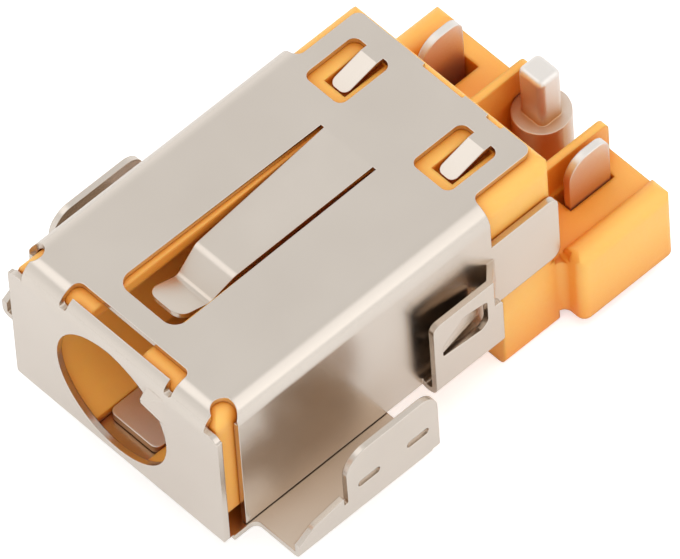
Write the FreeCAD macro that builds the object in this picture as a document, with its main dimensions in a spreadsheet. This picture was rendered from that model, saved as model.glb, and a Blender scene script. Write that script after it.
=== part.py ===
import FreeCAD, Part
import math
import os

import Sketcher

# A board-mounted jack for a barrel plug. X is the width, Y runs from the plug's mouth to the
# rear, and Z is up, the way the solder legs point. The origin is the plug's axis at the outer
# face of the front plate.

doc = FreeCAD.newDocument("dc_power_jack")
sheet = doc.addObject("Spreadsheet::Sheet", "sizes")


class Length:
    """A length that knows its number and its formula over the sheet."""

    def __init__(self, number, words):
        self.number = float(number)
        self.words = words

    def __add__(self, other):
        other = length(other)
        return Length(self.number + other.number, f"({self.words} + {other.words})")

    def __sub__(self, other):
        other = length(other)
        return Length(self.number - other.number, f"({self.words} - {other.words})")

    def __mul__(self, other):
        other = length(other)
        return Length(self.number * other.number, f"({self.words} * {other.words})")

    def __truediv__(self, other):
        other = length(other)
        return Length(self.number / other.number, f"({self.words} / {other.words})")

    def __neg__(self):
        return Length(-self.number, f"(0 - {self.words})")

    def __radd__(self, other):
        return length(other) + self

    def __rsub__(self, other):
        return length(other) - self

    def __rmul__(self, other):
        return length(other) * self


def length(item):
    """Take a plain number as a length too."""
    if isinstance(item, Length):
        return item
    return Length(item, repr(float(item)))


def size(name, number, note):
    """Write one driving dimension into the sheet."""
    size.row += 1
    sheet.set(f"A{size.row}", note)
    sheet.set(f"B{size.row}", str(number))
    sheet.setAlias(f"B{size.row}", name)
    return Length(number, f"sizes.{name}")


size.row = 0

# The case's sheet
case_sheet = size("case_sheet", 0.25, "thickness of the case's sheet")
case_shift = size("case_shift", 0.17, "case's centre line to the right of the plug's axis")
case_width = size("case_width", 10.87, "width over the side walls")
case_top = size("case_top", 3.6, "plug's axis to the top's outer face")
case_rear = size("case_rear", 16.4, "front plate to the top's rear edge")
case_bend = size("case_bend", 0.9, "outer radius of the case's upper bends")
front_shift = size("front_shift", 0.07, "front plate's centre line to the right of the case's")
ear_top = size("ear_top", 2.85, "plug's axis to the top of the front plate's ears")
ear_width = size("ear_width", 0.7, "width of each ear beside the front bend")
ear_round = size("ear_round", 0.4, "corner radius of the ears")
relief_width = size("relief_width", 0.95, "diameter of the round reliefs at the case's front corners")
relief_offset = size("relief_offset", 4.97, "case's centre line to the centre of each relief")
relief_setback = size("relief_setback", 0.87, "front plate to the centre of each relief")
plate_drop = size("plate_drop", 3.4, "plug's axis to the base plate's outer face")
plate_bend = size("plate_bend", 0.3, "outer radius of the base plate's bend")
plate_length = size("plate_length", 8.0, "front plate to the base plate's rear edge")
foot_round = size("foot_round", 0.45, "radius of the front plate's lower corners")
wall_front = size("wall_front", 1.1, "front plate to the side walls' front edges")
wall_drop = size("wall_drop", 3.1, "plug's axis to the side walls' lower edges")

# The mouth and its lug
plug_hole = size("plug_hole", 5.7, "diameter of the plug's hole in the front plate")
lug_rise = size("lug_rise", 0.33, "front plate's face forward to the crest of the mouth's lug")
lug_near = size("lug_near", 2.03, "plug's axis right to the lug's crest")
lug_start = size("lug_start", 2.62, "plug's axis right to where the lug leaves the hole's rim")
lug_far = size("lug_far", 2.95, "plug's axis right to where the lug runs out in the plate")
lug_foot = size("lug_foot", 1.2, "plug's axis up to the lug's lower end")
lug_shoulder = size("lug_shoulder", 2.12, "plug's axis up to the lower end of the crest")
lug_crest = size("lug_crest", 2.35, "plug's axis up to the upper end of the crest")
lug_head = size("lug_head", 2.72, "plug's axis up to the lug's upper end")

# The slot across the front bend
slot_shift = size("slot_shift", 0.3, "slot's centre to the right of the plug's axis")
slot_width = size("slot_width", 5.8, "width of the slot across the front bend")
slot_rear = size("slot_rear", 1.13, "front plate to the slot's rear edge")
slot_round = size("slot_round", 0.3, "corner radius of the slot")
slot_relief = size("slot_relief", 0.38, "width of the reliefs at the slot's ends")
slot_relief_round = size("slot_relief_round", 0.15, "corner radius of those reliefs")
relief_foot = size("relief_foot", 3.05, "plug's axis to the bottom of the slot's reliefs")
lip_reach = size("lip_reach", 0.475, "front plate to the lip that rises into the slot")

# The plug's spring finger
finger_centre = size("finger_centre", 0.09, "finger's centre to the left of the plug's axis")
finger_slot_front = size("finger_slot_front", 2.0, "front plate to the finger slot's front edge")
finger_slot_width = size("finger_slot_width", 3.06, "width of the finger's slot")
finger_slot_taper = size("finger_slot_taper", 0.1, "narrowing of the slot at each side of its rear")
finger_slot_round = size("finger_slot_round", 0.6, "radius of the slot's front corners")
finger_root = size("finger_root", 11.9, "front plate to the finger's root")
finger_leg = size("finger_leg", 0.17, "gap between the finger's root and the case")
finger_waist = size("finger_waist", 2.06, "finger's width ahead of its sloping run")
finger_nose = size("finger_nose", 1.74, "finger's width at its contact bend")
finger_run = size("finger_run", 5.35, "front plate to the end of the sloping run")
finger_sag = size("finger_sag", 0.47, "drop over the sloping run")
finger_knee = size("finger_knee", 4.25, "front plate to the contact bend")
finger_dip = size("finger_dip", 1.13, "case's top to the contact bend")
finger_tip = size("finger_tip", 2.8, "front plate to the finger's tip")
finger_lift = size("finger_lift", 0.5, "rise of the tip from the contact bend")
finger_bend = size("finger_bend", 0.6, "outer radius of the finger's bends")
finger_round = size("finger_round", 0.5, "corner radius of the finger's tip")

# The two windows with latch tongues, and the rear of the top
window_offset = size("window_offset", 2.78, "case's centre line to each window's centre")
window_width = size("window_width", 1.96, "width of each window")
window_front = size("window_front", 12.95, "front plate to the windows' front edges")
window_rear = size("window_rear", 15.5, "front plate to the windows' rear edges")
window_round = size("window_round", 0.34, "corner radius of the windows")
latch_shift = size("latch_shift", 0.1, "latch tongue's centre to the right of its window's")
latch_width = size("latch_width", 0.84, "width of each latch tongue")
latch_web = size("latch_web", 0.3, "window's rear edge to the latch's root")
latch_tip = size("latch_tip", 13.6, "front plate to the latch's tip")
latch_dip = size("latch_dip", 0.42, "case's top to the latch's tip")
latch_round = size("latch_round", 0.3, "corner radius of the latch's tip")
notch_width = size("notch_width", 0.95, "side wall to the rear notch's inner edge")
notch_front = size("notch_front", 13.4, "front plate to the rear notches")
notch_foot = size("notch_foot", 1.5, "plug's axis to the bottom of the rear notches")
notch_round = size("notch_round", 0.35, "corner radius of the rear notches")
step_depth = size("step_depth", 0.15, "depth of the shallow step in the rear edge")
step_width = size("step_width", 2.1, "width of the shallow step")
second_step = size("second_step", 2.63, "first step's centre to the second step's centre")
second_step_width = size("second_step_width", 0.8, "width of the second shallow step")
tail_rear = size("tail_rear", 16.65, "front plate to the side walls' rear tongues")
tail_drop = size("tail_drop", 1.87, "plug's axis to the lower edge of the rear tongues")
tail_round = size("tail_round", 0.45, "corner radius of the rear tongues")

# The hooks folded up outside the walls
hook_stand = size("hook_stand", 0.76, "side wall to the hook's outer face")
hook_front = size("hook_front", 9.75, "front plate to the hook's front edge")
hook_rear = size("hook_rear", 13.1, "front plate to the hook's rear edge")
hook_top = size("hook_top", 0.8, "plug's axis to the hook's upper edge")
hook_round = size("hook_round", 0.35, "radius of the hook's upper front corner")
hook_bend = size("hook_bend", 0.45, "outer radius of the fold under the hook")
hook_foot = size("hook_foot", 3.18, "plug's axis down to the hook's fold")
hook_ramp = size("hook_ramp", 0.75, "length of the hook's rear end that turns back to the wall")
hook_ease = size("hook_ease", 0.5, "radius of the turn into that rear end")
hook_free = size("hook_free", 0.6, "plug's axis down to the foot of that rear end")
eye_front = size("eye_front", 10.15, "front plate to the hook's eye")
eye_rear = size("eye_rear", 12.38, "front plate to the rear end of the eye")
eye_top = size("eye_top", 0.2, "plug's axis up to the eye's upper edge")
eye_drop = size("eye_drop", 1.35, "plug's axis down to the eye's lower edge")
eye_slope = size("eye_slope", 0.8, "fall of the eye's upper edge toward the front")
lance_press = size("lance_press", 0.4, "how far the lance in the eye is pressed in at its rear")
lance_gap = size("lance_gap", 0.12, "slit behind the lance")
lance_foot = size("lance_foot", 1.0, "plug's axis down to the lance's lower edge")

# The upright tabs beside the case
tab_reach = size("tab_reach", 7.78, "case's centre line to the upright tabs' outer faces")
tab_front = size("tab_front", 1.5, "front plate to the tabs' front edges")
tab_rear = size("tab_rear", 8.36, "front plate to the tabs' rear edges")
tab_bend = size("tab_bend", 0.32, "outer radius of the tabs' bends")
tab_notch = size("tab_notch", 0.3, "radius of the hollow corner ahead of the flange")
lip_start = size("lip_start", 2.67, "plug's axis down to the low lip's front corner")
lip_middle = size("lip_middle", 2.2, "plug's axis down to the low lip's middle")
lip_end = size("lip_end", 1.92, "plug's axis down to the low lip's rear end")
lip_run = size("lip_run", 0.75, "front edge to the middle of the low lip")
leg_front = size("leg_front", 3.92, "front plate to the solder leg's front edge")
leg_top = size("leg_top", 0.0, "plug's axis up to the right solder leg's top")
left_leg_drop = size("left_leg_drop", 0.1, "right solder leg's top down to the left one's")
leg_round = size("leg_round", 0.8, "radius of the solder legs' rear corners")
leg_slope = size("leg_slope", 1.0, "radius of the solder legs' front corners")
leg_notch = size("leg_notch", 0.42, "depth of the small relief before the solder leg")
leg_notch_width = size("leg_notch_width", 0.2, "width of that relief")
leg_notch_round = size("leg_notch_round", 0.08, "corner radius of that relief")
tab_slot_length = size("tab_slot_length", 1.07, "length of the slots in the tabs")
tab_slot_width = size("tab_slot_width", 0.33, "height of the slots in the tabs")
tab_slot_round = size("tab_slot_round", 0.16, "radius of the slots' ends")
tab_slot_drop = size("tab_slot_drop", 1.78, "plug's axis down to the tabs' slots")
tab_slot_front = size("tab_slot_front", 4.97, "front plate to the front slot's centre")
tab_slot_pitch = size("tab_slot_pitch", 2.38, "distance between the two slots' centres")

# The housing
fit = size("fit", 0.05, "clearance between the housing and what it holds")
housing_rear = size("housing_rear", 16.7, "front plate to the housing's rear face")
rear_round = size("rear_round", 0.3, "radius of the housing's upper rear edge")
rear_corner = size("rear_corner", 0.4, "radius of the housing's upright rear edges")
block_front = size("block_front", 13.95, "front plate to the deep rear block")
block_drop = size("block_drop", 6.35, "plug's axis to the deep block's foot")
block_round = size("block_round", 0.35, "radius of the block's lower edges")
body_chamfer = size("body_chamfer", 0.9, "chamfer of the housing's lower side edges")
bore = size("bore", 6.2, "diameter of the housing's bore")
bore_depth = size("bore_depth", 12.5, "front plate to the bore's end")
channel_width = size("channel_width", 2.64, "width of the finger's channel")
channel_rear = size("channel_rear", 12.2, "front plate to the channel's end")
latch_room = size("latch_room", 0.12, "room around each latch tongue in its pocket")
deck_width = size("deck_width", 12.3, "width of the terminal deck")
deck_front = size("deck_front", 16.95, "front plate to the deck's shoulders beside the block")
deck_rear = size("deck_rear", 21.5, "front plate to the deck's rear face")
deck_top = size("deck_top", 2.6, "plug's axis down to the deck's upper face")
deck_foot = size("deck_foot", 5.65, "plug's axis down to the deck's lower face")
deck_round = size("deck_round", 0.35, "radius of the deck's outer vertical edges")
ridge_width = size("ridge_width", 1.1, "width of the ridges along the deck's sides")
ridge_top = size("ridge_top", 2.12, "plug's axis down to the ridges' crests, the board's seat")
ridge_round = size("ridge_round", 0.5, "radius of the ridges' crests")
fin_sheet = size("fin_sheet", 0.33, "thickness of the two fins")
fin_top = size("fin_top", 1.08, "plug's axis down to the fins' tops")
fin_round = size("fin_round", 0.3, "radius of the fins' upper rear corners")
left_fin = size("left_fin", 0.94, "plug's axis left to the left fin's inner face")
right_fin = size("right_fin", 2.73, "plug's axis right to the right fin's inner face")
trench_foot = size("trench_foot", 4.95, "plug's axis down to the trench's floor")
blade_well = size("blade_well", 0.95, "width of the wells that the blades stand in")
well_rear = size("well_rear", 20.75, "front plate to the wells' rear ends")

# The contact under the bore
contact_sheet = size("contact_sheet", 0.32, "thickness of the contact's sheet")
contact_shift = size("contact_shift", 0.085, "blades' centre line to the right of the plug's axis")
leaf_top = size("leaf_top", 2.77, "plug's axis down to the leaf's upper face")
leaf_width = size("leaf_width", 2.5, "width of the leaf under the bore")
leaf_front = size("leaf_front", 0.9, "front plate to the leaf's front edge")
yoke_front = size("yoke_front", 12.9, "front plate to the yoke's front edge")
yoke_rear = size("yoke_rear", 14.6, "front plate to the yoke's rear edge")
blade_reach = size("blade_reach", 3.965, "blades' centre line to their outer faces")
blade_front = size("blade_front", 18.6, "front plate to the blades' front edges")
blade_rear = size("blade_rear", 20.6, "front plate to the blades' rear edges")
blade_drop = size("blade_drop", 0.22, "plug's axis down to the blades' tops")
blade_round = size("blade_round", 0.5, "radius of the blades' rear corners")
blade_slope = size("blade_slope", 1.0, "radius of the blades' front corners")
rail_top = size("rail_top", 3.15, "plug's axis down to the upper edge of the rails")
rail_foot = size("rail_foot", 4.5, "plug's axis down to the lower edge of the rails")

# The centre pin and its terminal
pin_width = size("pin_width", 2.0, "diameter of the centre pin")
pin_tip = size("pin_tip", 3.0, "front plate to the pin's tip")
pin_round = size("pin_round", 0.5, "radius of the pin's tip")
collar_width = size("collar_width", 3.0, "diameter of the pin's collar")
collar_sheet = size("collar_sheet", 0.6, "thickness of the pin's collar")
shank_width = size("shank_width", 1.4, "diameter of the pin's riveted shank")
rivet_width = size("rivet_width", 1.7, "diameter of the rivet's head")
rivet_sheet = size("rivet_sheet", 0.3, "thickness of the rivet's head")
strip_sheet = size("strip_sheet", 0.4, "thickness of the centre terminal's strip")
strip_width = size("strip_width", 2.0, "width of the centre terminal's strip")
strip_front = size("strip_front", 15.3, "front plate to the terminal's upright strip")
strip_top = size("strip_top", 1.1, "plug's axis up to the strip's top")
strip_bend = size("strip_bend", 0.7, "outer radius of the strip's bend")
post_shift = size("post_shift", 0.15, "plug's axis right to the post's centre")
post_centre = size("post_centre", 20.9, "front plate to the post's centre")
post_width = size("post_width", 1.25, "width of the post")
post_length = size("post_length", 1.1, "length of the post")
post_top = size("post_top", 0.0, "plug's axis up to the post's top")
post_corner = size("post_corner", 0.26, "radius of the post's upright edges")
post_round = size("post_round", 0.22, "radius of the post's upper edges")
boss_width = size("boss_width", 2.25, "diameter of the round boss under the post")
boss_top = size("boss_top", 2.45, "plug's axis down to the boss's upper face")

doc.recompute()

# Places worked out from the sizes
half_case = case_width / 2
case_inside = half_case - case_sheet
under_top = case_top - case_sheet
inner_bend = case_bend - case_sheet
front_centre = case_shift + front_shift
seat_inside = case_inside - fit
shoulder = case_top - case_bend
fold_centre = hook_foot - (case_sheet * 2 + hook_stand) / 2
leaf_foot = leaf_top + contact_sheet
SIDES = ((-1, "left"), (1, "right"))

# Each view's plane, and whether a pad that grows along the plus axis is reversed on it
PLANES = {"top": "XY_Plane", "front": "XZ_Plane", "side": "YZ_Plane"}
BACKWARD = "front"


def new_body(name):
    """Start a body whose label names its piece."""
    body = doc.addObject("PartDesign::Body", name + "_body")
    body.Label = name
    return body


def bind(item, prop, words):
    """Tie a property to a formula over the sheet."""
    item.setExpression(prop, length(words).words)


def new_sketch(body, name, view, start):
    """Lay an empty sketch on one of the body's own planes, moved along its axis to start."""
    sketch = body.newObject("Sketcher::SketchObject", name + "_sketch")
    plane = [item for item in body.Origin.OriginFeatures if item.Role == PLANES[view]][0]
    sketch.AttachmentSupport = [(plane, "")]
    sketch.MapMode = "FlatFace"
    start = -length(start) if view == BACKWARD else length(start)
    bind(sketch, "AttachmentOffset.Base.z", start)
    return sketch


def place_point(sketch, name, geometry, point, across, up):
    """Hold one point of a sketch at its two distances from the origin."""
    for kind, distance, suffix in (("DistanceX", across, "x"), ("DistanceY", up, "y")):
        distance = length(distance)
        label = f"{name}_{suffix}"
        rule = Sketcher.Constraint(kind, -1, 1, geometry, point, distance.number)
        number = sketch.addConstraint(rule)
        sketch.renameConstraint(number, label)
        sketch.setExpression(f"Constraints.{label}", distance.words)


def draw_circle(sketch, across, up, width):
    """Draw a circle by its centre and its diameter."""
    across, up, width = length(across), length(up), length(width)
    centre = FreeCAD.Vector(across.number, up.number, 0)
    circle = Part.Circle(centre, FreeCAD.Vector(0, 0, 1), width.number / 2)
    geometry = sketch.addGeometry(circle, False)
    place_point(sketch, f"centre{geometry}", geometry, 3, across, up)
    number = sketch.addConstraint(Sketcher.Constraint("Diameter", geometry, width.number))
    sketch.renameConstraint(number, f"width{geometry}")
    sketch.setExpression(f"Constraints.width{geometry}", width.words)


def draw_outline(sketch, corners):
    """Draw a closed outline through its corners: (across, up), or (across, up, radius)."""
    corners = [[length(item) for item in corner] for corner in corners]
    places = [FreeCAD.Vector(corner[0].number, corner[1].number, 0) for corner in corners]
    leave = []
    arrive = []
    turns = []
    for index, place in enumerate(places):
        back = (places[index - 1] - place).normalize()
        ahead = (places[(index + 1) % len(places)] - place).normalize()
        if len(corners[index]) == 2:
            arrive.append(place)
            leave.append(place)
            turns.append(None)
            continue
        radius = corners[index][2].number
        half = back.getAngle(ahead) / 2
        arrive.append(place + back * (radius / math.tan(half)))
        leave.append(place + ahead * (radius / math.tan(half)))
        centre = place + (back + ahead).normalize() * (radius / math.sin(half))
        turns.append((centre, radius, ahead.cross(back).z > 0))
    lines = []
    for index in range(len(places)):
        following = (index + 1) % len(places)
        line = Part.LineSegment(leave[index], arrive[following])
        lines.append(sketch.addGeometry(line, False))
    for index, turn in enumerate(turns):
        before = lines[index - 1]
        after = lines[index]
        across, up = corners[index][:2]
        if turn is None:
            sketch.addConstraint(Sketcher.Constraint("Coincident", before, 2, after, 1))
            place_point(sketch, f"corner{index}", after, 1, across, up)
            continue
        centre, radius, to_left = turn
        first, last = (arrive[index], leave[index]) if to_left else (leave[index], arrive[index])
        begin = math.atan2(first.y - centre.y, first.x - centre.x)
        end = math.atan2(last.y - centre.y, last.x - centre.x)
        circle = Part.Circle(centre, FreeCAD.Vector(0, 0, 1), radius)
        arc = sketch.addGeometry(Part.ArcOfCircle(circle, begin, end), False)
        start_point, end_point = (1, 2) if to_left else (2, 1)
        sketch.addConstraint(Sketcher.Constraint("Tangent", before, 2, arc, start_point))
        sketch.addConstraint(Sketcher.Constraint("Tangent", arc, end_point, after, 1))
        number = sketch.addConstraint(Sketcher.Constraint("Radius", arc, radius))
        sketch.renameConstraint(number, f"radius{index}")
        sketch.setExpression(f"Constraints.radius{index}", corners[index][2].words)
        point = sketch.addGeometry(Part.Point(places[index]), True)
        sketch.addConstraint(Sketcher.Constraint("PointOnObject", point, 1, before))
        sketch.addConstraint(Sketcher.Constraint("PointOnObject", point, 1, after))
        place_point(sketch, f"corner{index}", point, 1, across, up)


def rectangle(left, low, right, high, radius=None):
    """The corners of an upright rectangle, rounded where a radius is given."""
    corners = [(left, low), (right, low), (right, high), (left, high)]
    if radius is None:
        return corners
    return [corner + (radius,) for corner in corners]


def add(body, name, view, span, corners):
    """Grow an outline along its view's axis, from the first place to the second."""
    sketch = new_sketch(body, name, view, span[0])
    draw_outline(sketch, corners)
    pad = body.newObject("PartDesign::Pad", name)
    pad.Profile = sketch
    bind(pad, "Length", length(span[1]) - span[0])
    pad.Reversed = view == BACKWARD
    sketch.Visibility = False
    return pad


def finish_cut(body, name, view, span, sketch):
    """Cut a drawn sketch along its view's axis, from the first place to the second."""
    pocket = body.newObject("PartDesign::Pocket", name)
    pocket.Profile = sketch
    bind(pocket, "Length", length(span[1]) - span[0])
    pocket.Reversed = view != BACKWARD
    sketch.Visibility = False
    return pocket


def cut(body, name, view, span, corners):
    """Cut an outline out of the body."""
    sketch = new_sketch(body, name, view, span[0])
    draw_outline(sketch, corners)
    return finish_cut(body, name, view, span, sketch)


def cut_round(body, name, view, span, across, up, width):
    """Cut a round hole out of the body."""
    sketch = new_sketch(body, name, view, span[0])
    draw_circle(sketch, across, up, width)
    return finish_cut(body, name, view, span, sketch)


def add_round(body, name, view, span, across, up, width):
    """Grow a round bar along its view's axis."""
    sketch = new_sketch(body, name, view, span[0])
    draw_circle(sketch, across, up, width)
    pad = body.newObject("PartDesign::Pad", name)
    pad.Profile = sketch
    bind(pad, "Length", length(span[1]) - span[0])
    pad.Reversed = view == BACKWARD
    sketch.Visibility = False
    return pad


def beside(side, distance):
    """A place at a distance from the case's centre line, to one side."""
    return case_shift + distance if side > 0 else case_shift - distance


def span_beside(side, near, far):
    """The two places of a span beside the case's centre line, the lower first."""
    if side > 0:
        return beside(side, near), beside(side, far)
    return beside(side, far), beside(side, near)


def round_corner(body, name, view, span, corner, inward, radius):
    """Round one corner. Inward tells where the material lies from it, across and up."""
    across, up = corner
    along, rise = inward
    outline = [
        (across, up + radius * 2 * rise),
        (across, up, radius),
        (across + radius * 2 * along, up),
        (across + radius * 2 * along, up - radius * rise),
        (across - radius * along, up - radius * rise),
        (across - radius * along, up + radius * 2 * rise),
    ]
    cut(body, name, view, span, outline)


def round_edges(body, name, radius, wanted):
    """Round the edges that the test picks on the body's last feature."""
    doc.recompute()
    base = body.Tip
    edges = [f"Edge{number + 1}" for number, edge in enumerate(base.Shape.Edges) if wanted(edge)]
    fillet = body.newObject("PartDesign::Fillet", name)
    fillet.Base = (base, edges)
    bind(fillet, "Radius", radius)
    return fillet


def build_top_and_walls(body):
    """The top plate with its side bends, and the two side walls."""
    left = beside(-1, half_case)
    right = beside(1, half_case)
    arch_foot = case_top - case_bend * 2
    arch = [
        (left, arch_foot),
        (left, case_top, case_bend),
        (right, case_top, case_bend),
        (right, arch_foot),
        (right - case_sheet, arch_foot),
        (right - case_sheet, under_top, inner_bend),
        (left + case_sheet, under_top, inner_bend),
        (left + case_sheet, arch_foot),
    ]
    add(body, "arch", "front", (wall_front, case_rear), arch)
    wall = [
        (wall_front, shoulder),
        (wall_front, -wall_drop),
        (hook_front, -wall_drop),
        (hook_front, -fold_centre),
        (hook_rear, -fold_centre),
        (hook_rear, -tail_drop),
        (tail_rear, -tail_drop, tail_round),
        (tail_rear, notch_foot, tail_round),
        (notch_front, notch_foot, notch_round),
        (notch_front, shoulder),
    ]
    for side, word in SIDES:
        span = span_beside(side, case_inside, half_case)
        add(body, f"{word}_wall", "side", span, wall)
        near = beside(side, half_case - notch_width)
        far = beside(side, half_case + notch_width)
        corner = beside(side, half_case - notch_width * 2)
        notch = [
            (near, notch_front, notch_round),
            (far, notch_front),
            (far, tail_rear),
            (corner, tail_rear),
            (corner, case_rear),
            (near, case_rear, notch_round),
        ]
        cut(body, f"{word}_notch", "top", (notch_foot, case_top + case_sheet), notch)


def build_front(body):
    """The front plate with its ears, the bend over to the top and the bend under to the base."""
    left = front_centre - half_case
    right = front_centre + half_case
    over = [
        (0, shoulder - case_bend),
        (0, case_top, case_bend),
        (wall_front + case_sheet, case_top),
        (wall_front + case_sheet, under_top),
        (case_sheet, under_top, inner_bend),
        (case_sheet, shoulder - case_bend),
    ]
    add(body, "front_bend", "side", (left + ear_width, right - ear_width), over)
    plate = rectangle(left, -plate_drop + plate_bend, right, shoulder)
    add(body, "front_plate", "front", (0, case_sheet), plate)
    under = [
        (0, -plate_drop + plate_bend * 2),
        (0, -plate_drop, plate_bend),
        (plate_length, -plate_drop),
        (plate_length, -plate_drop + case_sheet),
        (case_sheet, -plate_drop + case_sheet),
        (case_sheet, -plate_drop + plate_bend * 2),
    ]
    add(body, "base_plate", "side", (left, right), under)
    for side, word in SIDES:
        outer = front_centre + half_case * side
        inner = outer - ear_width * side
        ear = [
            (inner, shoulder - case_bend),
            (outer, shoulder - case_bend),
            (outer, ear_top, ear_round),
            (inner, ear_top),
        ]
        add(body, f"{word}_ear", "front", (0, case_sheet), ear)
        span = (-case_sheet, foot_round)
        round_corner(body, f"{word}_foot", "front", span, (outer, -plate_drop), (-side, 1), foot_round)
        span = (shoulder, case_top + case_sheet)
        centre = beside(side, relief_offset)
        cut_round(body, f"{word}_relief", "top", span, centre, relief_setback, relief_width)


def build_mouth(body):
    """The plug's hole, the lug that stands forward at its rim, and the slot across the front bend."""
    cut_round(body, "mouth", "front", (-case_sheet, case_sheet * 2), 0, 0, plug_hole)
    lug = [
        (lug_start, lug_foot),
        (lug_far, lug_foot),
        (lug_far, lug_head),
        (lug_near, lug_head),
        (lug_near, lug_shoulder),
    ]
    add(body, "lug", "front", (-lug_rise, case_sheet), lug)
    ahead = -lug_rise * 2
    slope = [(lug_near, ahead), (lug_far, ahead), (lug_far, 0), (lug_near, -lug_rise)]
    cut(body, "lug_slope", "top", (lug_foot - case_sheet, lug_head + case_sheet), slope)
    across = (lug_near - case_sheet, lug_far + case_sheet)
    low = [(ahead, lug_foot), (0, lug_foot), (-lug_rise, lug_shoulder), (ahead, lug_shoulder)]
    cut(body, "lug_low_slope", "side", across, low)
    high = [(ahead, lug_crest), (-lug_rise, lug_crest), (0, lug_head), (ahead, lug_head)]
    cut(body, "lug_high_slope", "side", across, high)
    left = slot_shift - slot_width / 2
    right = slot_shift + slot_width / 2
    slot = [
        (left, lip_reach),
        (right, lip_reach),
        (right, slot_rear, slot_round),
        (left, slot_rear, slot_round),
    ]
    above = case_top + case_sheet
    cut(body, "front_slot", "top", (relief_foot, above), slot)
    for start, word in ((left, "left"), (right - slot_relief, "right")):
        relief = [
            (start, relief_foot, slot_relief_round),
            (start + slot_relief, relief_foot, slot_relief_round),
            (start + slot_relief, above),
            (start, above),
        ]
        cut(body, f"{word}_slot_relief", "front", (-case_sheet, slot_rear - slot_round), relief)


def build_top_cuts(body):
    """The finger's slot, the two windows with their latches, and the step in the rear edge."""
    through = (under_top - case_sheet, case_top + case_sheet)
    front_half = finger_slot_width / 2
    rear_half = front_half - finger_slot_taper
    slot = [
        (-finger_centre - front_half, finger_slot_front, finger_slot_round),
        (-finger_centre + front_half, finger_slot_front, finger_slot_round),
        (-finger_centre + rear_half, finger_root),
        (-finger_centre - rear_half, finger_root),
    ]
    cut(body, "finger_slot", "top", through, slot)
    latch_root = window_rear - latch_web
    latch = [
        (window_rear + latch_web, case_top),
        (latch_root, case_top),
        (latch_tip, case_top - latch_dip),
        (latch_tip, under_top - latch_dip),
        (latch_root, under_top),
        (window_rear + latch_web, under_top),
    ]
    for side, word in SIDES:
        middle = beside(side, window_offset)
        window = rectangle(middle - window_width / 2, window_front,
                           middle + window_width / 2, window_rear, window_round)
        cut(body, f"{word}_window", "top", through, window)
        centre = middle + latch_shift
        span = (centre - latch_width / 2, centre + latch_width / 2)
        add(body, f"{word}_latch", "side", span, latch)
        for turn, end in SIDES:
            tip = (centre + latch_width / 2 * turn, latch_tip)
            span = (under_top - latch_dip - fit, case_top)
            round_corner(body, f"{word}_latch_{end}_tip", "top", span, tip, (-turn, 1), latch_round)
    steps = (("first", case_shift, step_width), ("second", case_shift + second_step, second_step_width))
    for word, centre, width in steps:
        step = rectangle(centre - width / 2, case_rear - step_depth,
                         centre + width / 2, case_rear + step_depth, step_depth / 2)
        cut(body, f"{word}_step", "top", through, step)


def build_hook(body, side, word):
    """The sheet folded up outside a wall, with its ramp back to the wall and its eye."""
    outer = half_case + hook_stand
    fold = [
        (beside(side, case_inside), -fold_centre + case_sheet),
        (beside(side, case_inside), -hook_foot, hook_bend),
        (beside(side, outer), -hook_foot, hook_bend),
        (beside(side, outer), -fold_centre + case_sheet),
        (beside(side, outer - case_sheet), -fold_centre + case_sheet),
        (beside(side, outer - case_sheet), -hook_foot + case_sheet, hook_bend - case_sheet),
        (beside(side, half_case), -hook_foot + case_sheet, hook_bend - case_sheet),
        (beside(side, half_case), -fold_centre + case_sheet),
    ]
    add(body, f"{word}_hook_fold", "front", (hook_front, hook_rear), fold)
    ramp_front = hook_rear - hook_ramp / 2
    panel = [
        (hook_front, -fold_centre),
        (hook_front, hook_top, hook_round),
        (ramp_front, hook_top),
        (ramp_front, -hook_free),
        (hook_rear, -hook_free, hook_round / 2),
        (hook_rear, -fold_centre),
    ]
    add(body, f"{word}_hook_panel", "side", span_beside(side, outer - case_sheet, outer), panel)
    ramp = [
        (beside(side, outer), ramp_front - case_sheet),
        (beside(side, outer), ramp_front, hook_ease),
        (beside(side, half_case), ramp_front + hook_ramp),
        (beside(side, case_inside), ramp_front + hook_ramp),
        (beside(side, case_inside), ramp_front + hook_ramp - case_sheet / 2),
        (beside(side, outer - case_sheet), ramp_front - case_sheet / 2),
        (beside(side, outer - case_sheet), ramp_front - case_sheet),
    ]
    add(body, f"{word}_hook_ramp", "top", (-hook_free, hook_top), ramp)
    middle = (eye_front + eye_rear) / 2
    eye = [
        (eye_front, -eye_drop + eye_slope / 4, hook_round / 3),
        (eye_front, eye_top - eye_slope, hook_round / 3),
        (middle, eye_top, hook_round),
        (eye_rear, eye_top - eye_slope / 4, hook_round / 2),
        (eye_rear, -eye_drop + eye_slope / 4, hook_round),
        (eye_rear - hook_round, -eye_drop, hook_round / 3),
    ]
    cut(body, f"{word}_eye", "side", span_beside(side, outer - case_sheet * 2, outer + case_sheet), eye)
    lance = [
        (beside(side, outer), eye_front - case_sheet),
        (beside(side, outer - case_sheet), eye_front - case_sheet),
        (beside(side, outer - case_sheet - lance_press), eye_rear - lance_gap),
        (beside(side, outer - lance_press), eye_rear - lance_gap),
    ]
    add(body, f"{word}_lance", "top", (-lance_foot, eye_top), lance)


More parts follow.
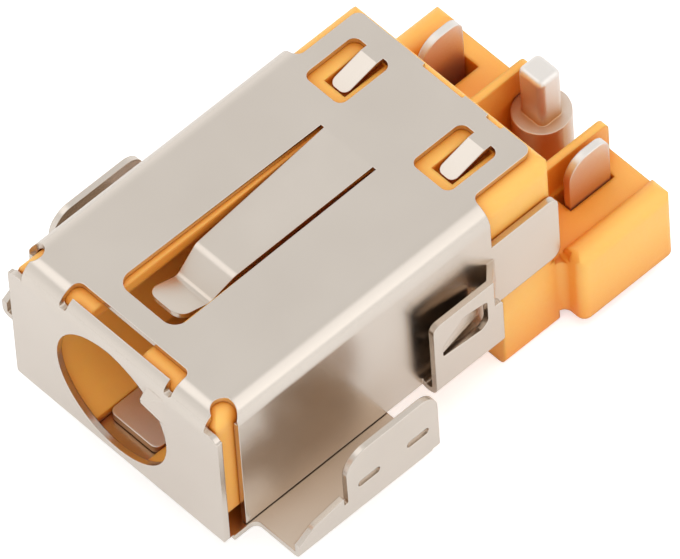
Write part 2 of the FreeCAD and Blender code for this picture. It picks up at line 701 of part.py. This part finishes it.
def build_tab(body, side, word):
    """The flange beside the base plate, and the tab folded up from it with its solder leg."""
    edge = front_centre + half_case * side
    inside = edge - case_bend * side
    flange = [
        (inside, tab_front - tab_notch * 2),
        (edge, tab_front - tab_notch * 2),
        (edge, tab_front, tab_notch),
        (beside(side, tab_reach - tab_bend), tab_front),
        (beside(side, tab_reach - tab_bend), plate_length),
        (inside, plate_length),
    ]
    add(body, f"{word}_flange", "top", (-plate_drop, -plate_drop + case_sheet), flange)
    bend_top = -plate_drop + tab_bend
    bend = [
        (beside(side, tab_reach - tab_bend * 2), -plate_drop),
        (beside(side, tab_reach), -plate_drop, tab_bend),
        (beside(side, tab_reach), bend_top + tab_bend / 2),
        (beside(side, tab_reach - case_sheet), bend_top + tab_bend / 2),
        (beside(side, tab_reach - case_sheet), -plate_drop + case_sheet, tab_bend - case_sheet),
        (beside(side, tab_reach - tab_bend * 2), -plate_drop + case_sheet),
    ]
    add(body, f"{word}_tab_bend", "front", (tab_front, plate_length), bend)
    top = leg_top if side > 0 else leg_top - left_leg_drop
    leg = [
        (tab_front, bend_top),
        (tab_front, -lip_start),
        (tab_front + lip_run, -lip_middle, lip_run),
        (leg_front, -lip_end),
        (leg_front, top, leg_slope),
        (tab_rear, top, leg_round),
        (tab_rear, bend_top),
    ]
    span = span_beside(side, tab_reach - case_sheet, tab_reach)
    add(body, f"{word}_leg", "side", span, leg)
    through = span_beside(side, tab_reach - case_sheet * 2, tab_reach + case_sheet)
    relief = [
        (leg_front - leg_notch_width, -lip_end - leg_notch, leg_notch_round),
        (leg_front, -lip_end - leg_notch, leg_notch_round),
        (leg_front, -lip_end + leg_notch),
        (leg_front - leg_notch_width, -lip_end + leg_notch),
    ]
    cut(body, f"{word}_leg_relief", "side", through, relief)
    for number, place in ((1, tab_slot_front), (2, tab_slot_front + tab_slot_pitch)):
        slot = rectangle(place - tab_slot_length / 2, -tab_slot_drop - tab_slot_width / 2,
                         place + tab_slot_length / 2, -tab_slot_drop + tab_slot_width / 2,
                         tab_slot_round)
        cut(body, f"{word}_tab_slot{number}", "side", through, slot)


def build_finger():
    """The spring finger: its folded profile, kept where its outline lies."""
    profile_body = new_body("finger_profile")
    outline_body = new_body("finger_outline")
    slot_half = finger_slot_width / 2
    root_half = slot_half - finger_slot_taper - finger_leg
    root_end = finger_root + finger_leg * 2
    run_top = case_top - finger_sag
    knee_top = case_top - finger_dip
    tip_top = knee_top + finger_lift
    profile = [
        (root_end, case_top),
        (finger_root, case_top, finger_bend),
        (finger_run, run_top, finger_bend),
        (finger_knee, knee_top, finger_bend - case_sheet),
        (finger_tip, tip_top),
        (finger_tip, tip_top - case_sheet),
        (finger_knee, knee_top - case_sheet, finger_bend),
        (finger_run, run_top - case_sheet, finger_bend - case_sheet),
        (finger_root, under_top, finger_bend - case_sheet),
        (root_end, under_top),
    ]
    add(profile_body, "profile", "side", (-finger_centre - slot_half, -finger_centre + slot_half), profile)
    outline = [
        (-finger_centre + root_half, root_end),
        (-finger_centre + root_half, finger_root),
        (-finger_centre + finger_waist / 2, finger_run),
        (-finger_centre + finger_nose / 2, finger_knee, finger_bend),
        (-finger_centre + finger_nose / 2, finger_tip, finger_round),
        (-finger_centre - finger_nose / 2, finger_tip, finger_round),
        (-finger_centre - finger_nose / 2, finger_knee, finger_bend),
        (-finger_centre - finger_waist / 2, finger_run),
        (-finger_centre - root_half, finger_root),
        (-finger_centre - root_half, root_end),
    ]
    add(outline_body, "outline", "top", (knee_top - finger_bend, case_top + case_sheet), outline)
    finger = doc.addObject("Part::Common", "finger")
    finger.Base = profile_body
    finger.Tool = outline_body
    return finger


def build_shield():
    """The folded metal case, one sheet."""
    body = new_body("case")
    build_top_and_walls(body)
    build_front(body)
    for side, word in SIDES:
        build_hook(body, side, word)
        build_tab(body, side, word)
    build_mouth(body)
    build_top_cuts(body)
    shield = doc.addObject("Part::Fuse", "shield")
    shield.Base = body
    shield.Tool = build_finger()
    shield.Label = "shield"
    return shield


def build_housing():
    """The moulded housing: body, deep rear block and terminal deck."""
    body = new_body("housing")
    front = case_sheet + fit
    roof = under_top - fit
    floor = -plate_drop + case_sheet + fit
    roof_round = inner_bend - fit
    left = beside(-1, seat_inside)
    right = beside(1, seat_inside)
    core = [
        (left, roof, roof_round),
        (left, floor + body_chamfer),
        (left + body_chamfer, floor),
        (right - body_chamfer, floor),
        (right, floor + body_chamfer),
        (right, roof, roof_round),
    ]
    add(body, "core", "front", (front, housing_rear), core)
    block = [
        (left, 0),
        (left, -block_drop, block_round),
        (right, -block_drop, block_round),
        (right, 0),
    ]
    add(body, "block", "front", (block_front, housing_rear), block)
    deck_half = deck_width / 2
    deck = [
        (left, block_front + fit),
        (right, block_front + fit),
        (right, deck_front, deck_round),
        (beside(1, deck_half), deck_front),
        (beside(1, deck_half), deck_rear),
        (beside(-1, deck_half), deck_rear),
        (beside(-1, deck_half), deck_front),
        (left, deck_front, deck_round),
    ]
    add(body, "deck", "top", (-deck_foot, -deck_top), deck)
    for side, word in SIDES:
        inner, outer = span_beside(side, deck_half - ridge_width, deck_half)
        ridge = [
            (inner, -deck_top - ridge_width),
            (inner, -ridge_top, ridge_round),
            (outer, -ridge_top, ridge_round),
            (outer, -deck_top - ridge_width),
        ]
        add(body, f"{word}_ridge", "front", (deck_front, deck_rear), ridge)
        edge = beside(side, deck_half)
        for turn, end, place in ((1, "front", deck_front), (-1, "rear", deck_rear)):
            name = f"{word}_{end}"
            span = (-deck_foot - fit, -ridge_top + fit)
            round_corner(body, name + "_corner", "top", span, (edge, place), (-side, turn), deck_round)
            span = (inner - fit, outer + fit)
            round_corner(body, name + "_crest", "side", span, (place, -ridge_top), (turn, -1), deck_round)
    fins = (("left", -left_fin - fin_sheet, -left_fin), ("right", right_fin, right_fin + fin_sheet))
    for word, near, far in fins:
        fin = rectangle(near, -deck_top - fin_sheet, far, -fin_top)
        add(body, f"{word}_fin", "front", (housing_rear - fit, deck_rear), fin)
        span = (near - fit, far + fit)
        round_corner(body, f"{word}_fin_corner", "side", span, (deck_rear, -fin_top), (-1, -1), fin_round)
    cut_housing_front(body, front, roof)
    cut_contact_room(body)
    cut_terminal_room(body)
    return body


def cut_housing_front(body, front, roof):
    """The eased upper edge, the bore with the finger's channel, and the latches' pockets."""
    span = span_beside(1, -half_case, half_case)
    round_corner(body, "front_ease", "side", span, (front, roof), (1, -1), inner_bend - fit)
    round_corner(body, "rear_ease", "side", span, (housing_rear, roof), (-1, -1), rear_round)
    for side, word in SIDES:
        corner = (beside(side, seat_inside), housing_rear)
        span = (-deck_top, roof + fit)
        round_corner(body, f"{word}_rear_corner", "top", span, corner, (-side, -1), rear_corner)
    cut_round(body, "bore", "front", (0, bore_depth), 0, 0, bore)
    channel = rectangle(-finger_centre - channel_width / 2, 0, -finger_centre + channel_width / 2, case_top)
    cut(body, "finger_channel", "front", (0, channel_rear), channel)
    pocket_foot = under_top - latch_dip - latch_room
    for side, word in SIDES:
        centre = beside(side, window_offset) + latch_shift
        reach = latch_width / 2 + latch_room
        pocket = rectangle(centre - reach, latch_tip - latch_room, centre + reach, window_rear)
        cut(body, f"{word}_latch_pocket", "top", (pocket_foot, case_top), pocket)


def cut_contact_room(body):
    """The leaf's channel, the yoke's slot, the rails' tunnels and the blades' wells."""
    leaf_reach = leaf_width / 2 + fit
    leaf_room = rectangle(-finger_centre - leaf_reach, -plate_drop,
                          -finger_centre + leaf_reach, -leaf_top + fit)
    cut(body, "leaf_channel", "front", (0, yoke_front), leaf_room)
    yoke = rectangle(contact_shift - blade_reach - fit, yoke_front - fit,
                     contact_shift + blade_reach + fit, yoke_rear + fit)
    cut(body, "yoke_slot", "top", (-leaf_foot - fit, -leaf_top + fit), yoke)
    for side, word in SIDES:
        near, far = rail_span(side)
        tunnel = rectangle(near - fit, -rail_foot - fit, far + fit, -rail_top + fit)
        cut(body, f"{word}_rail_tunnel", "front", (block_front, blade_front), tunnel)
        outer = far + fit if side > 0 else near - fit
        inner = outer - blade_well if side > 0 else outer + blade_well
        well = rectangle(inner, blade_front - fit, outer, well_rear)
        cut(body, f"{word}_well", "top", (-rail_foot - fit, -deck_top + fit), well)


def rail_span(side):
    """The two faces of a blade and its rail, the lower first."""
    if side > 0:
        return contact_shift + blade_reach - contact_sheet, contact_shift + blade_reach
    return contact_shift - blade_reach, contact_shift - blade_reach + contact_sheet


def cut_terminal_room(body):
    """The trench behind the block, the slot for the terminal's strip and the pin's seat."""
    trench = rectangle(-left_fin, -trench_foot, right_fin, -fin_top + fit)
    cut(body, "trench", "front", (housing_rear, deck_rear + fit), trench)
    span = (-trench_foot, -boss_top + fit)
    cut_round(body, "boss_seat", "top", span, post_shift, post_centre, boss_width + fit * 2)
    strip_reach = strip_width / 2 + fit
    upright = rectangle(post_shift - strip_reach, strip_front - fit,
                        post_shift + strip_reach, strip_front + strip_sheet + rivet_sheet + fit)
    cut(body, "strip_slot", "top", (-block_drop - fit, strip_top + fit), upright)
    lying = rectangle(post_shift - strip_reach, -trench_foot,
                      post_shift + strip_reach, -trench_foot + strip_sheet + fit)
    cut(body, "strip_tunnel", "front", (strip_front, housing_rear + fit), lying)
    cut_round(body, "pin_seat", "front", (bore_depth - fit, strip_front), 0, 0, shank_width)


def build_ground_contact():
    """The leaf under the bore, its yoke, and the two rails that rise as blades."""
    body = new_body("ground_contact")
    left = contact_shift - blade_reach
    right = contact_shift + blade_reach
    leaf_left = -finger_centre - leaf_width / 2
    leaf_right = -finger_centre + leaf_width / 2
    leaf = [
        (leaf_left, leaf_front, contact_sheet),
        (leaf_right, leaf_front, contact_sheet),
        (leaf_right, yoke_front),
        (right, yoke_front),
        (right, yoke_rear),
        (left, yoke_rear),
        (left, yoke_front),
        (leaf_left, yoke_front),
    ]
    add(body, "leaf", "top", (-leaf_foot, -leaf_top), leaf)
    rail_front = block_front + fit
    rail = [
        (rail_front, -rail_foot, contact_sheet),
        (blade_rear, -rail_foot, contact_sheet),
        (blade_rear, -blade_drop, blade_round),
        (blade_front, -blade_drop, blade_slope),
        (blade_front, -rail_top),
        (yoke_rear, -rail_top),
        (yoke_rear, -leaf_top),
        (rail_front, -leaf_top),
    ]
    for side, word in SIDES:
        add(body, f"{word}_rail", "side", rail_span(side), rail)
    return body


def build_centre_pin():
    """The turned pin on the plug's axis, riveted to its terminal."""
    body = new_body("centre_pin")
    sketch = new_sketch(body, "pin_outline", "top", 0)
    strip_rear = strip_front + strip_sheet
    outline = [
        (0, pin_tip),
        (pin_width / 2, pin_tip, pin_round),
        (pin_width / 2, bore_depth - collar_sheet),
        (collar_width / 2, bore_depth - collar_sheet),
        (collar_width / 2, bore_depth),
        (shank_width / 2, bore_depth),
        (shank_width / 2, strip_rear),
        (rivet_width / 2, strip_rear),
        (rivet_width / 2, strip_rear + rivet_sheet, rivet_sheet / 2),
        (0, strip_rear + rivet_sheet),
    ]
    draw_outline(sketch, outline)
    turned = body.newObject("PartDesign::Revolution", "turned")
    turned.Profile = sketch
    turned.ReferenceAxis = (sketch, ["V_Axis"])
    turned.Angle = 360
    sketch.Visibility = False
    return body


def build_centre_terminal():
    """The strip riveted to the pin, its boss, and the square post that is soldered."""
    body = new_body("centre_terminal")
    low = -trench_foot
    strip = [
        (strip_front, strip_top),
        (strip_front + strip_sheet, strip_top),
        (strip_front + strip_sheet, low + strip_sheet, strip_bend - strip_sheet),
        (post_centre, low + strip_sheet),
        (post_centre, low),
        (strip_front, low, strip_bend),
    ]
    half = strip_width / 2
    add(body, "strip", "side", (post_shift - half, post_shift + half), strip)
    through = (strip_front - fit, strip_front + strip_sheet + fit)
    cut_round(body, "rivet_hole", "front", through, 0, 0, shank_width)
    add_round(body, "boss", "top", (low, -boss_top), post_shift, post_centre, boss_width)
    post = rectangle(post_shift - post_width / 2, post_centre - post_length / 2,
                     post_shift + post_width / 2, post_centre + post_length / 2, post_corner)
    add(body, "post", "top", (-boss_top - fit, post_top), post)
    top = post_top.number
    round_edges(body, "post_edges", post_round, lambda edge: on_level(edge, top))
    return body


def on_level(edge, level):
    """Whether an edge lies flat at one height."""
    box = edge.BoundBox
    return abs(box.ZMin - level) < 0.001 and abs(box.ZMax - level) < 0.001


pieces = {
    "shield": build_shield(),
    "housing": build_housing(),
    "ground_contact": build_ground_contact(),
    "centre_pin": build_centre_pin(),
    "centre_terminal": build_centre_terminal(),
}
doc.recompute()

for item in doc.Objects:
    if "Invalid" in item.State or "Error" in item.State:
        raise RuntimeError(f"{item.Name} failed: {item.State}")
for name, piece in pieces.items():
    if piece.Shape.isNull() or not piece.Shape.isValid():
        raise RuntimeError(f"{name} has no sound shape")
    if len(piece.Shape.Solids) != 1:
        raise RuntimeError(f"{name} is {len(piece.Shape.Solids)} solids")

os.makedirs("parts", exist_ok=True)
for name, piece in pieces.items():
    piece.Label = name
    piece.Shape.exportStep(f"parts/{name}.step")
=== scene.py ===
import bpy
from mathutils import Matrix, Vector


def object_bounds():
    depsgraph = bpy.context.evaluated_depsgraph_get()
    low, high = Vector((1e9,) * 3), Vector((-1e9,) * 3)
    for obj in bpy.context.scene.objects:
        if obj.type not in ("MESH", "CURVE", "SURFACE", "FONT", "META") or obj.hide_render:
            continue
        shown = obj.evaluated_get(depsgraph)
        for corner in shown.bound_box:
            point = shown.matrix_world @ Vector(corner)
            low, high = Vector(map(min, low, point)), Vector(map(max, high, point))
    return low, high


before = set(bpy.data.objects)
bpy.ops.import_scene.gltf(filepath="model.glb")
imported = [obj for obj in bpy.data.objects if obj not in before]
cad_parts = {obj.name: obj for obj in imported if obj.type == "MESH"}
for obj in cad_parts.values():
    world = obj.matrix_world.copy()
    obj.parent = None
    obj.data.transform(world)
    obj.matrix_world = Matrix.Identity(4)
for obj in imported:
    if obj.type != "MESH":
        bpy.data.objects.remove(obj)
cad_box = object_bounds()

MM = 0.001

# The camera looks down on the front plate, the top and the right wall. Its place is in
# millimetres, and its axes are given over the object's X, Y and Z.
CAMERA_PLACE = (266.06, -211.81, 460.88)
CAMERA_RIGHT = (0.68686551, 0.72535417, -0.04557515)
CAMERA_DOWN = (0.56344877, -0.57106183, -0.59700407)
CAMERA_AHEAD = (-0.45906562, 0.38438225, -0.8009426)
CAMERA_LENS = 855.0

# Light of the studio near its sides and above, and the heights between which it changes, as
# shares of the way from level to straight up
SIDE_LIGHT = 1.0
TOP_LIGHT = 0.80
SIDE_HEIGHT = 0.25
TOP_HEIGHT = 0.8

# The floor's half width and its room under the object, in millimetres, its glow to the camera
# and the share of that glow which the metal mirrors
FLOOR_HALF = 600.0
FLOOR_ROOM = 0.02
FLOOR_COLOUR = (0.90, 0.90, 0.90)
FLOOR_GLOW = 0.50
MIRRORED_GLOW = 0.05

# The place that the lamps face, in millimetres
LAMP_AIM = (0.0, 10.0, 0.0)

# Painted corner shade: how much of each colour is left deep in a corner, and how far the shade
# reaches, in millimetres
CASE_PAINTED_SHADE = (0.84, 0.77, 0.70)
# The contacts' painted corner shade is orange-brown: painted shade with painted light off the orange
# housing
CONTACT_PAINTED_ORANGE_SHADE = (0.72, 0.42, 0.20)
PLASTIC_PAINTED_SHADE = (0.84, 0.45, 0.12)
METAL_SHADE_REACH = 2.8
PLASTIC_SHADE_REACH = 3.0

# Spots to the metre in the metal's clouds and haze, and in the plastic's clouds and grain
METAL_CLOUDS = 260.0
METAL_HAZE = 420.0
PLASTIC_CLOUDS = 180.0
PLASTIC_GRAIN = 6500.0
FINE = 3.0

scene = bpy.context.scene
scene.view_settings.view_transform = "Standard"


def make_camera():
    """A long lens from the front right, well above the part."""
    data = bpy.data.cameras.new("camera")
    data.lens = CAMERA_LENS
    data.sensor_width = 36.0
    data.clip_start = 0.01
    data.clip_end = 50.0
    camera = bpy.data.objects.new("camera", data)
    right = Vector(CAMERA_RIGHT)
    up = -Vector(CAMERA_DOWN)
    back = -Vector(CAMERA_AHEAD)
    turn = Matrix((right, up, back)).transposed().to_4x4()
    camera.matrix_world = Matrix.Translation(Vector(CAMERA_PLACE) * MM) @ turn
    scene.collection.objects.link(camera)
    scene.camera = camera


class Nodes:
    """Short words for building a node tree."""

    def __init__(self, tree):
        self.tree = tree
        tree.nodes.clear()

    def add(self, kind, **values):
        node = self.tree.nodes.new(kind)
        for name, value in values.items():
            setattr(node, name, value)
        return node

    def link(self, source, target):
        self.tree.links.new(source, target)

    def noise(self, scale):
        """A noise over the object's own place, in spots to the metre."""
        noise = self.add("ShaderNodeTexNoise")
        noise.inputs["Scale"].default_value = scale
        noise.inputs["Detail"].default_value = FINE
        self.link(self.add("ShaderNodeTexCoord").outputs["Object"], noise.inputs["Vector"])
        return noise.outputs["Fac"]

    def spread(self, source, low, high, start=0.3, end=0.7):
        """Take a factor between a start and an end to two numbers."""
        spread = self.add("ShaderNodeMapRange")
        spread.inputs["From Min"].default_value = start
        spread.inputs["From Max"].default_value = end
        spread.inputs["To Min"].default_value = low
        spread.inputs["To Max"].default_value = high
        self.link(source, spread.inputs["Value"])
        return spread.outputs["Result"]

    def mix(self, factor, first, second):
        """Mix two colours by a factor."""
        mix = self.add("ShaderNodeMix", data_type="RGBA")
        self.link(factor, mix.inputs["Factor"])
        for socket, colour in ((mix.inputs["A"], first), (mix.inputs["B"], second)):
            if isinstance(colour, tuple):
                socket.default_value = colour + (1.0,)
            else:
                self.link(colour, socket)
        return mix.outputs["Result"]

    def clouded_and_shaded(self, scale, light, dark, painted_corner_shade, reach, closed, clear):
        """A colour with faint clouds, and painted shade that turns it deeper in the corners."""
        plain = self.mix(self.spread(self.noise(scale), 0.0, 1.0), light, dark)
        # The painted shade's colour, deep in a corner
        deep = tuple(level * left for level, left in zip(dark, painted_corner_shade))
        return self.mix(self.painted_shade_mask(reach, closed, clear), plain, deep)

    def painted_shade_mask(self, reach, closed, clear):
        """The mask for painted corner shade: how far a place lies in a corner, none in the open, one
        deep inside.
        """
        painted_corner_shade = self.add("ShaderNodeAmbientOcclusion")
        painted_corner_shade.samples = 8
        painted_corner_shade.inputs["Distance"].default_value = reach * MM
        return self.spread(painted_corner_shade.outputs["AO"], 1.0, 0.0, closed, clear)

    def bump(self, source, strength, height, normal):
        """A fine relief from a factor, on top of another normal."""
        bump = self.add("ShaderNodeBump")
        bump.inputs["Strength"].default_value = strength
        bump.inputs["Distance"].default_value = height * MM
        self.link(source, bump.inputs["Height"])
        self.link(normal, bump.inputs["Normal"])
        return bump.outputs["Normal"]

    def soft_edges(self, radius):
        """Rounded normals along the edges."""
        bevel = self.add("ShaderNodeBevel")
        bevel.samples = 16
        bevel.inputs["Radius"].default_value = radius * MM
        return bevel.outputs["Normal"]


def new_shader(name):
    """A material with its node tree and the shader at its end."""
    material = bpy.data.materials.new(name)
    material.use_nodes = True
    nodes = Nodes(material.node_tree)
    shader = nodes.add("ShaderNodeBsdfPrincipled")
    output = nodes.add("ShaderNodeOutputMaterial")
    nodes.link(shader.outputs["BSDF"], output.inputs["Surface"])
    return material, nodes, shader


def make_metal(name, light, dark, painted_corner_shade, roughness, edge, closed=0.35, metallic=1.0):
    """Plated sheet: a satin metal with faint clouds, a faint haze and painted shade in its corners.
    """
    material, nodes, shader = new_shader(name)
    shader.inputs["Metallic"].default_value = metallic
    colour = nodes.clouded_and_shaded(METAL_CLOUDS, light, dark, painted_corner_shade, METAL_SHADE_REACH, closed, 0.95)
    nodes.link(colour, shader.inputs["Base Color"])
    haze = nodes.noise(METAL_HAZE)
    nodes.link(nodes.spread(haze, roughness - 0.02, roughness + 0.03), shader.inputs["Roughness"])
    nodes.link(nodes.soft_edges(edge), shader.inputs["Normal"])
    return material


def make_plastic(name, light, dark, painted_corner_shade, roughness, edge):
    """Moulded plastic: opaque, with light spreading just under its skin, a fine grain and painted
    deep orange shade in its corners.
    """
    material, nodes, shader = new_shader(name)
    shader.inputs["IOR"].default_value = 1.5
    shader.inputs["Subsurface Weight"].default_value = 0.25
    shader.inputs["Subsurface Radius"].default_value = (1.0, 0.35, 0.08)
    shader.inputs["Subsurface Scale"].default_value = 0.5 * MM
    colour = nodes.clouded_and_shaded(PLASTIC_CLOUDS, light, dark, painted_corner_shade, PLASTIC_SHADE_REACH, 0.30, 1.0)
    nodes.link(colour, shader.inputs["Base Color"])
    grain = nodes.noise(PLASTIC_GRAIN)
    nodes.link(nodes.spread(grain, roughness - 0.05, roughness + 0.07), shader.inputs["Roughness"])
    normal = nodes.bump(grain, 0.03, 0.004, nodes.soft_edges(edge))
    nodes.link(normal, shader.inputs["Normal"])
    return material


def dress(node, material):
    """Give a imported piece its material."""
    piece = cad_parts[node]
    piece.data.materials.clear()
    piece.data.materials.append(material)


def dress_case():
    """Satin nickel on the case."""
    metal = make_metal("case_metal", light=(0.76, 0.69, 0.62), dark=(0.73, 0.66, 0.59),
                       painted_corner_shade=CASE_PAINTED_SHADE, roughness=0.24, edge=0.05)
    dress("shield", metal)


def dress_contacts():
    """Matt tin on the ground contact and the centre terminal, with painted orange-brown shade in the
    corners, which stands in for shade and for light off the housing's orange.
    """
    metal = make_metal("contact_metal", light=(0.90, 0.86, 0.82), dark=(0.86, 0.82, 0.78),
                       painted_corner_shade=CONTACT_PAINTED_ORANGE_SHADE, roughness=0.40, edge=0.10, closed=0.45, metallic=0.85)
    dress("ground_contact", metal)
    dress("centre_terminal", metal)


def dress_pin():
    """Smooth plating on the centre pin."""
    metal = make_metal("pin_metal", light=(0.72, 0.68, 0.60), dark=(0.68, 0.63, 0.56),
                       painted_corner_shade=CASE_PAINTED_SHADE, roughness=0.22, edge=0.06)
    dress("centre_pin", metal)


def dress_housing():
    """Orange moulding."""
    plastic = make_plastic("housing_plastic", light=(1.0, 0.56, 0.13), dark=(1.0, 0.53, 0.115),
                           painted_corner_shade=PLASTIC_PAINTED_SHADE, roughness=0.42, edge=0.25)
    dress("housing", plastic)


def make_floor_white():
    """A pale matt floor, which glows a little to the camera and still less to the metal."""
    material = bpy.data.materials.new("floor_white")
    material.use_nodes = True
    nodes = Nodes(material.node_tree)
    diffuse = nodes.add("ShaderNodeBsdfDiffuse")
    diffuse.inputs["Color"].default_value = FLOOR_COLOUR + (1.0,)
    glow = nodes.add("ShaderNodeEmission")
    glow.inputs["Strength"].default_value = FLOOR_GLOW
    both = nodes.add("ShaderNodeAddShader")
    nodes.link(diffuse.outputs["BSDF"], both.inputs[0])
    nodes.link(glow.outputs["Emission"], both.inputs[1])
    path = nodes.add("ShaderNodeLightPath")
    share = nodes.add("ShaderNodeMath", operation="MULTIPLY_ADD")
    nodes.link(path.outputs["Is Glossy Ray"], share.inputs[0])
    share.inputs[1].default_value = MIRRORED_GLOW
    nodes.link(path.outputs["Is Camera Ray"], share.inputs[2])
    seen = nodes.add("ShaderNodeMixShader")
    nodes.link(share.outputs["Value"], seen.inputs["Fac"])
    nodes.link(diffuse.outputs["BSDF"], seen.inputs[1])
    nodes.link(both.outputs["Shader"], seen.inputs[2])
    output = nodes.add("ShaderNodeOutputMaterial")
    nodes.link(seen.outputs["Shader"], output.inputs["Surface"])
    return material


def make_floor():
    """A plain pale floor just under the block's foot, which keeps the object's shadow."""
    low = cad_box[0].z - FLOOR_ROOM * MM
    half = FLOOR_HALF * MM
    mesh = bpy.data.meshes.new("floor")
    corners = [(-half, -half, low), (half, -half, low), (half, half, low), (-half, half, low)]
    mesh.from_pydata(corners, [], [(0, 1, 2, 3)])
    mesh.materials.append(make_floor_white())
    floor = bpy.data.objects.new("floor", mesh)
    scene.collection.objects.link(floor)


def make_world():
    """A white studio: plain white to the camera, and as light a little dimmer above."""
    world = bpy.data.worlds.new("studio")
    world.use_nodes = True
    scene.world = world
    nodes = Nodes(world.node_tree)
    split = nodes.add("ShaderNodeSeparateXYZ")
    nodes.link(nodes.add("ShaderNodeTexCoord").outputs["Generated"], split.inputs["Vector"])
    lit = nodes.add("ShaderNodeBackground")
    lit.inputs["Color"].default_value = (1.0, 0.995, 0.985, 1.0)
    level = nodes.spread(split.outputs["Z"], SIDE_LIGHT, TOP_LIGHT, SIDE_HEIGHT, TOP_HEIGHT)
    nodes.link(level, lit.inputs["Strength"])
    seen = nodes.add("ShaderNodeBackground")
    seen.inputs["Strength"].default_value = 1.0
    path = nodes.add("ShaderNodeLightPath")
    mix = nodes.add("ShaderNodeMixShader")
    nodes.link(path.outputs["Is Camera Ray"], mix.inputs["Fac"])
    nodes.link(lit.outputs["Background"], mix.inputs[1])
    nodes.link(seen.outputs["Background"], mix.inputs[2])
    output = nodes.add("ShaderNodeOutputWorld")
    nodes.link(mix.outputs["Shader"], output.inputs["Surface"])


def make_lamp(name, direction, distance, width, power):
    """A soft square lamp that faces the object. Its distance and width are in millimetres."""
    data = bpy.data.lights.new(name, "AREA")
    data.shape = "SQUARE"
    data.size = width * MM
    data.energy = power
    lamp = bpy.data.objects.new(name, data)
    back = Vector(direction).normalized()
    lamp.location = Vector(LAMP_AIM) * MM + back * distance * MM
    lamp.rotation_mode = "QUATERNION"
    lamp.rotation_quaternion = (-back).to_track_quat("-Z", "Y")
    scene.collection.objects.link(lamp)
    return lamp


def make_lamps():
    """A lamp for the right bend's highlight, one for the finger, and one that mirrors don't show."""
    make_lamp("key", (0.75, 0.50, 0.75), distance=450.0, width=400.0, power=0.20)
    make_lamp("finger_light", (-0.46, -0.15, 0.87), distance=450.0, width=260.0, power=0.10)
    sun = make_lamp("soft_sun", (0.35, -0.25, 1.0), distance=500.0, width=200.0, power=0.45)
    sun.visible_glossy = False


make_camera()
dress_case()
dress_housing()
dress_contacts()
dress_pin()
make_world()
make_floor()
make_lamps()
